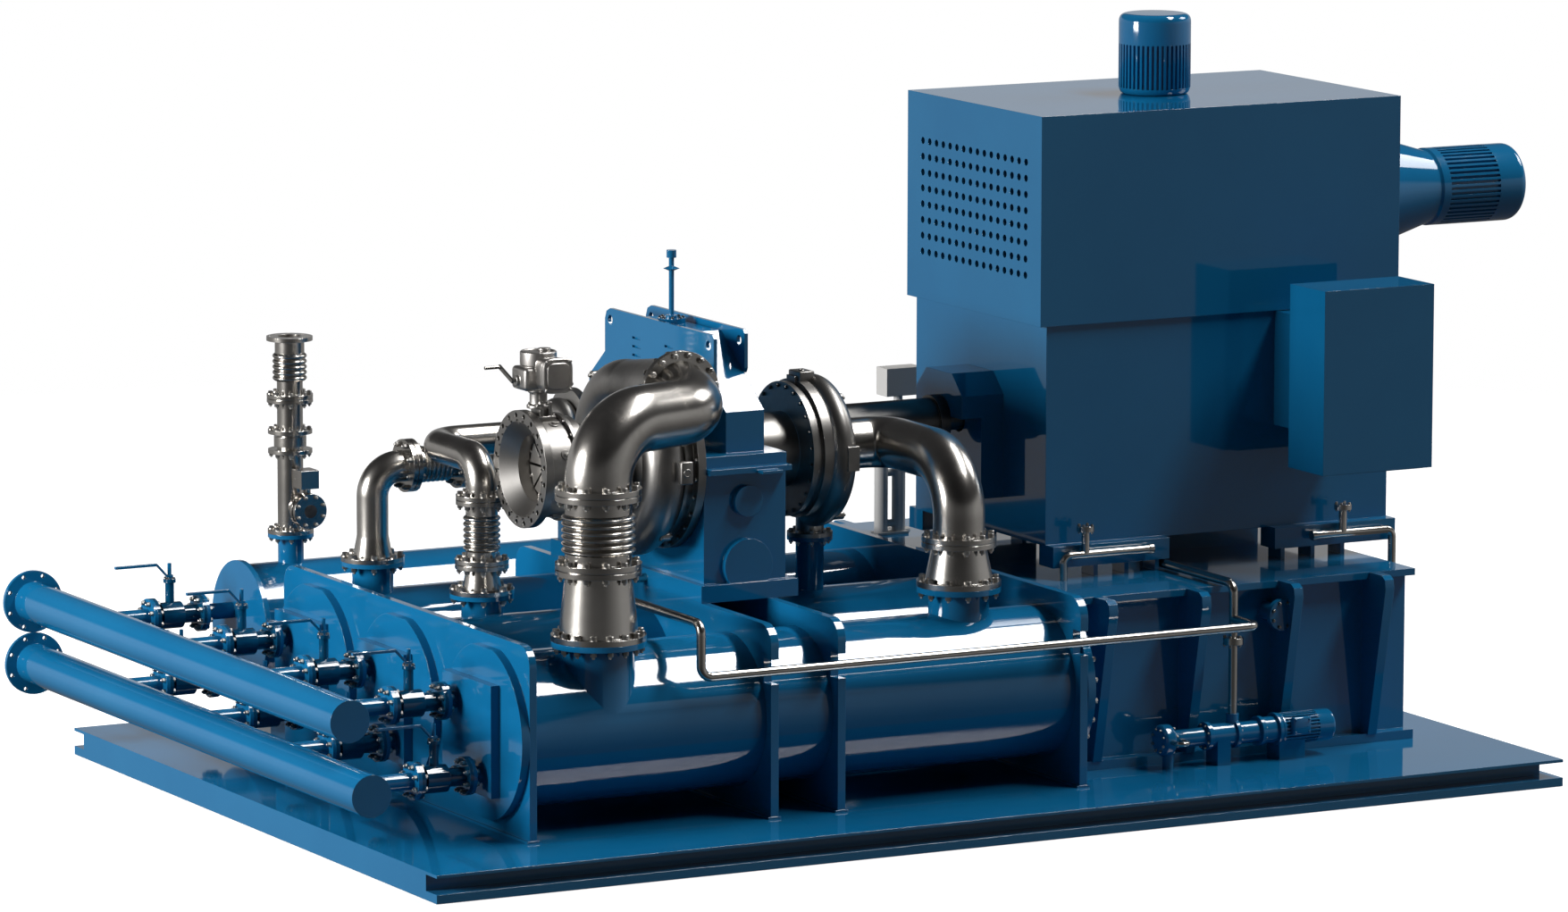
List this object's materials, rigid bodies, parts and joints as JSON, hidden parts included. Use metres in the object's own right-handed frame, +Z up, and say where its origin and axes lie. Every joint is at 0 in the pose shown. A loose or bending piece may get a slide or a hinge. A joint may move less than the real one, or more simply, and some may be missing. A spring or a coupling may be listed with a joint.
{
  "type": "steam compressor",
  "caption": "Integrally geared steam compressor skid with scroll stages, bellows piping, shell coolers, hooded drive motor, oil tank frame and lever-valved water headers",
  "frame": {"origin": "centre of the skid's underside", "axes": "X along the skid from the water headers to the motor, Y to the rear, Z up"},
  "size_m": [7.955, 4.914, 3.99],
  "materials": {
    "blue_paint": "gloss",
    "stainless_steel": "satin",
    "dark_steel": "satin",
    "grey_paint": "semi_gloss"
  },
  "bodies": {
    "package": {"skid_base": "blue_paint", "cooler_plates": "blue_paint", "cooler_shell_front": "blue_paint", "cooler_shell_middle": "blue_paint", "cooler_shell_rear": "blue_paint", "aftercooler_shell": "blue_paint", "cooler_tube_bundles": "stainless_steel", "waterboxes": "blue_paint", "upper_water_header": "blue_paint", "lower_water_header": "blue_paint", "valve_bodies": "blue_paint", "gearbox_lower_casing": "blue_paint", "gearbox_upper_casing": "blue_paint", "gearbox_breather": "dark_steel", "journal_bearings": "dark_steel", "stage_1_scroll": "stainless_steel", "stage_2_scroll": "stainless_steel", "stage_3_scroll": "stainless_steel", "guide_vane_housing": "stainless_steel", "guide_vane_actuator": "stainless_steel", "stage_1_discharge_pipe": "stainless_steel", "stage_2_inlet_pipe": "stainless_steel", "stage_3_inlet_pipe": "stainless_steel", "stage_3_discharge_pipe": "stainless_steel", "vent_stack": "stainless_steel", "coupling_guard": "blue_paint", "motor_housing": "blue_paint", "motor_hood": "blue_paint", "junction_box": "blue_paint", "fan_motors": "blue_paint", "support_frame": "blue_paint", "oil_pump_set": "blue_paint", "oil_pipes": "stainless_steel", "oil_filter_unit": "grey_paint"},
    "drive_train": {"motor_rotor": "dark_steel", "bull_gear": "dark_steel"},
    "front_pinion_rotor": {"front_pinion": "dark_steel", "front_impellers": "stainless_steel"},
    "rear_pinion_rotor": {"rear_pinion": "dark_steel", "rear_impeller": "stainless_steel"},
    "top_fan": {"top_fan_rotor": "dark_steel"},
    "end_fan": {"end_fan_rotor": "dark_steel"},
    "oil_pump_rotor": {"pump_rotor": "dark_steel"},
    "hand_crank": {"actuator_crank": "stainless_steel"},
    "lever_1": {"valve_lever_1": "blue_paint"},
    "vane_1": {"guide_vane_1": "stainless_steel"},
    "lever_2": {"valve_lever_2": "blue_paint"},
    "vane_2": {"guide_vane_2": "stainless_steel"},
    "lever_3": {"valve_lever_3": "blue_paint"},
    "vane_3": {"guide_vane_3": "stainless_steel"},
    "lever_4": {"valve_lever_4": "blue_paint"},
    "vane_4": {"guide_vane_4": "stainless_steel"},
    "lever_5": {"valve_lever_5": "blue_paint"},
    "vane_5": {"guide_vane_5": "stainless_steel"},
    "lever_6": {"valve_lever_6": "blue_paint"},
    "vane_6": {"guide_vane_6": "stainless_steel"},
    "lever_7": {"valve_lever_7": "blue_paint"},
    "vane_7": {"guide_vane_7": "stainless_steel"},
    "lever_8": {"valve_lever_8": "blue_paint"},
    "vane_8": {"guide_vane_8": "stainless_steel"}
  },
  "joints": [
    {"name": "main_shaft", "type": "hinge", "parent": "package", "child": "drive_train", "pos_m": [0.05, 0, 1.85], "axis": [1, 0, 0], "continuous": true},
    {"name": "front_pinion_spin", "type": "hinge", "parent": "package", "child": "front_pinion_rotor", "pos_m": [-0.875, -0.51, 1.85], "axis": [1, 0, 0], "continuous": true},
    {"name": "rear_pinion_spin", "type": "hinge", "parent": "package", "child": "rear_pinion_rotor", "pos_m": [-0.875, 0.51, 1.85], "axis": [1, 0, 0], "continuous": true},
    {"name": "top_fan_spin", "type": "hinge", "parent": "package", "child": "top_fan", "pos_m": [2.1, 0, 3.4], "axis": [0, 0, 1], "continuous": true},
    {"name": "end_fan_spin", "type": "hinge", "parent": "package", "child": "end_fan", "pos_m": [3.1, 0, 2.945], "axis": [1, 0, 0], "continuous": true},
    {"name": "oil_pump_spin", "type": "hinge", "parent": "package", "child": "oil_pump_rotor", "pos_m": [1.8, -1.5, 0.3], "axis": [1, 0, 0], "continuous": true},
    {"name": "hand_crank_turn", "type": "hinge", "parent": "package", "child": "hand_crank", "pos_m": [-2.02, -0.51, 2.316], "axis": [1, 0, 0], "continuous": true},
    {"name": "lever_1_turn", "type": "hinge", "parent": "package", "child": "lever_1", "pos_m": [-2.915, -1.074, 0.993], "axis": [0, 0, 1], "range_deg": [0, 90]},
    {"name": "lever_2_turn", "type": "hinge", "parent": "package", "child": "lever_2", "pos_m": [-2.915, -1.362, 0.653], "axis": [0, 0, 1], "range_deg": [0, 90]},
    {"name": "lever_3_turn", "type": "hinge", "parent": "package", "child": "lever_3", "pos_m": [-2.915, -0.054, 0.993], "axis": [0, 0, 1], "range_deg": [0, 90]},
    {"name": "lever_4_turn", "type": "hinge", "parent": "package", "child": "lever_4", "pos_m": [-2.915, -0.342, 0.653], "axis": [0, 0, 1], "range_deg": [0, 90]},
    {"name": "lever_5_turn", "type": "hinge", "parent": "package", "child": "lever_5", "pos_m": [-2.915, 0.966, 0.993], "axis": [0, 0, 1], "range_deg": [0, 90]},
    {"name": "lever_6_turn", "type": "hinge", "parent": "package", "child": "lever_6", "pos_m": [-2.915, 0.678, 0.653], "axis": [0, 0, 1], "range_deg": [0, 90]},
    {"name": "lever_7_turn", "type": "hinge", "parent": "package", "child": "lever_7", "pos_m": [-2.915, 1.9, 0.993], "axis": [0, 0, 1], "range_deg": [0, 90]},
    {"name": "lever_8_turn", "type": "hinge", "parent": "package", "child": "lever_8", "pos_m": [-2.915, 1.75, 0.653], "axis": [0, 0, 1], "range_deg": [0, 90]},
    {"name": "vane_1_turn", "type": "hinge", "parent": "package", "child": "vane_1", "pos_m": [-1.856, -0.58654, 2.03478], "axis": [0, -0.3827, 0.9239], "range_deg": [0, 75]},
    {"name": "vane_2_turn", "type": "hinge", "parent": "package", "child": "vane_2", "pos_m": [-1.856, -0.69478, 1.92654], "axis": [0, -0.9239, 0.3827], "range_deg": [0, 75]},
    {"name": "vane_3_turn", "type": "hinge", "parent": "package", "child": "vane_3", "pos_m": [-1.856, -0.69478, 1.77346], "axis": [0, -0.9239, -0.3827], "range_deg": [0, 75]},
    {"name": "vane_4_turn", "type": "hinge", "parent": "package", "child": "vane_4", "pos_m": [-1.856, -0.58654, 1.66522], "axis": [0, -0.3827, -0.9239], "range_deg": [0, 75]},
    {"name": "vane_5_turn", "type": "hinge", "parent": "package", "child": "vane_5", "pos_m": [-1.856, -0.43346, 1.66522], "axis": [0, 0.3827, -0.9239], "range_deg": [0, 75]},
    {"name": "vane_6_turn", "type": "hinge", "parent": "package", "child": "vane_6", "pos_m": [-1.856, -0.32522, 1.77346], "axis": [0, 0.9239, -0.3827], "range_deg": [0, 75]},
    {"name": "vane_7_turn", "type": "hinge", "parent": "package", "child": "vane_7", "pos_m": [-1.856, -0.32522, 1.92654], "axis": [0, 0.9239, 0.3827], "range_deg": [0, 75]},
    {"name": "vane_8_turn", "type": "hinge", "parent": "package", "child": "vane_8", "pos_m": [-1.856, -0.43346, 2.03478], "axis": [0, 0.3827, 0.9239], "range_deg": [0, 75]}
  ],
  "couplings": [
    {"joint": "front_pinion_spin", "follows": "main_shaft", "ratio": -6},
    {"joint": "rear_pinion_spin", "follows": "main_shaft", "ratio": -6},
    {"joint": "vane_2_turn", "follows": "vane_1_turn", "ratio": 1},
    {"joint": "vane_3_turn", "follows": "vane_1_turn", "ratio": 1},
    {"joint": "vane_4_turn", "follows": "vane_1_turn", "ratio": 1},
    {"joint": "vane_5_turn", "follows": "vane_1_turn", "ratio": 1},
    {"joint": "vane_6_turn", "follows": "vane_1_turn", "ratio": 1},
    {"joint": "vane_7_turn", "follows": "vane_1_turn", "ratio": 1},
    {"joint": "vane_8_turn", "follows": "vane_1_turn", "ratio": 1}
  ]
}
